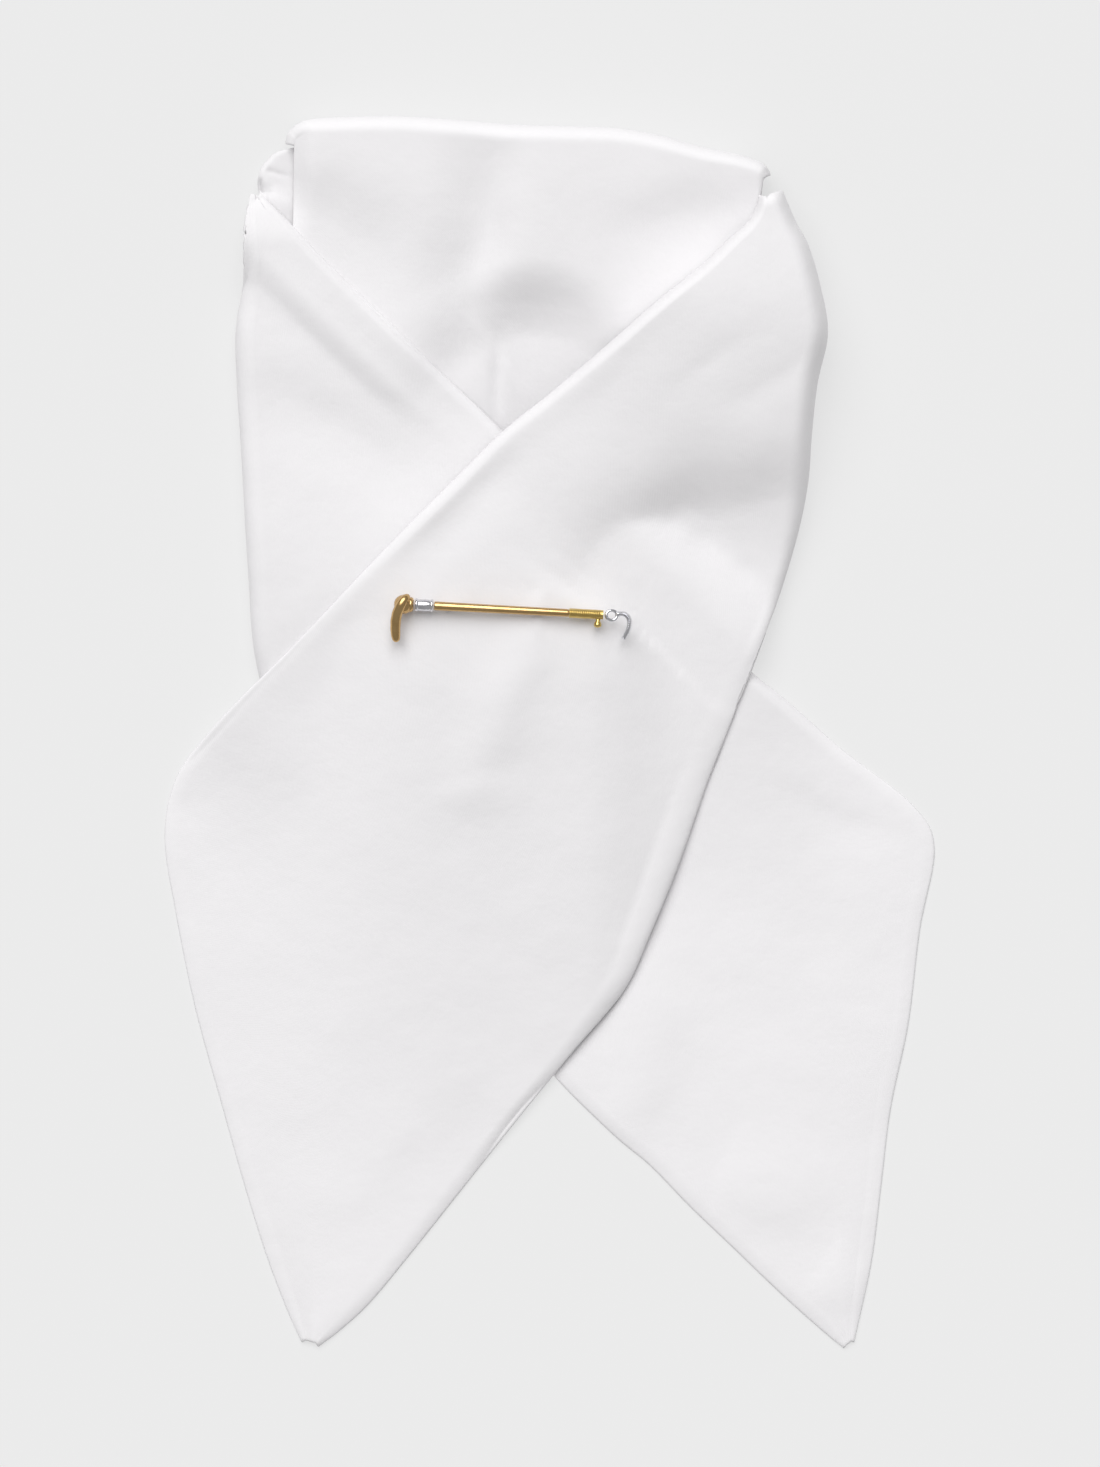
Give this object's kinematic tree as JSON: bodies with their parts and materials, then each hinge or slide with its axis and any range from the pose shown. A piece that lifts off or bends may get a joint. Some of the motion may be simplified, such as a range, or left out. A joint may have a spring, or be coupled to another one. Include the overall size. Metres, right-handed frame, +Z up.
{
  "type": "stock tie with stock pin",
  "caption": "Ready-tied white cotton stock tie lying flat, its two wide tails crossed at the throat and held by a whip-shaped stock pin.",
  "frame": {"origin": "on the surface the tie lies on, below the middle of its whole outline", "axes": "+Z up off the surface, +Y towards the neck, +X towards the right tail as seen from above"},
  "size_m": [0.2115, 0.3381, 0.0231],
  "materials": {
    "cloth_back": "plain white cotton",
    "cloth_band": "plain white cotton",
    "cloth_under": "plain white cotton",
    "cloth_over": "plain white cotton",
    "gilt": "polished gilt",
    "pale_gilt": "polished pale gilt",
    "silver": "polished silver colour"
  },
  "bodies": {
    "root": {"neck_back": "cloth_back", "neckband_front": "cloth_band", "tail_under": "cloth_under", "tail_over": "cloth_over", "pin_shaft": "gilt", "pin_handle": "gilt", "pin_binding": "pale_gilt", "pin_keeper": "pale_gilt", "pin_collar": "silver", "pin_ring": "silver", "pin_lash": "silver", "pin_stem": "silver"}
  },
  "joints": []
}
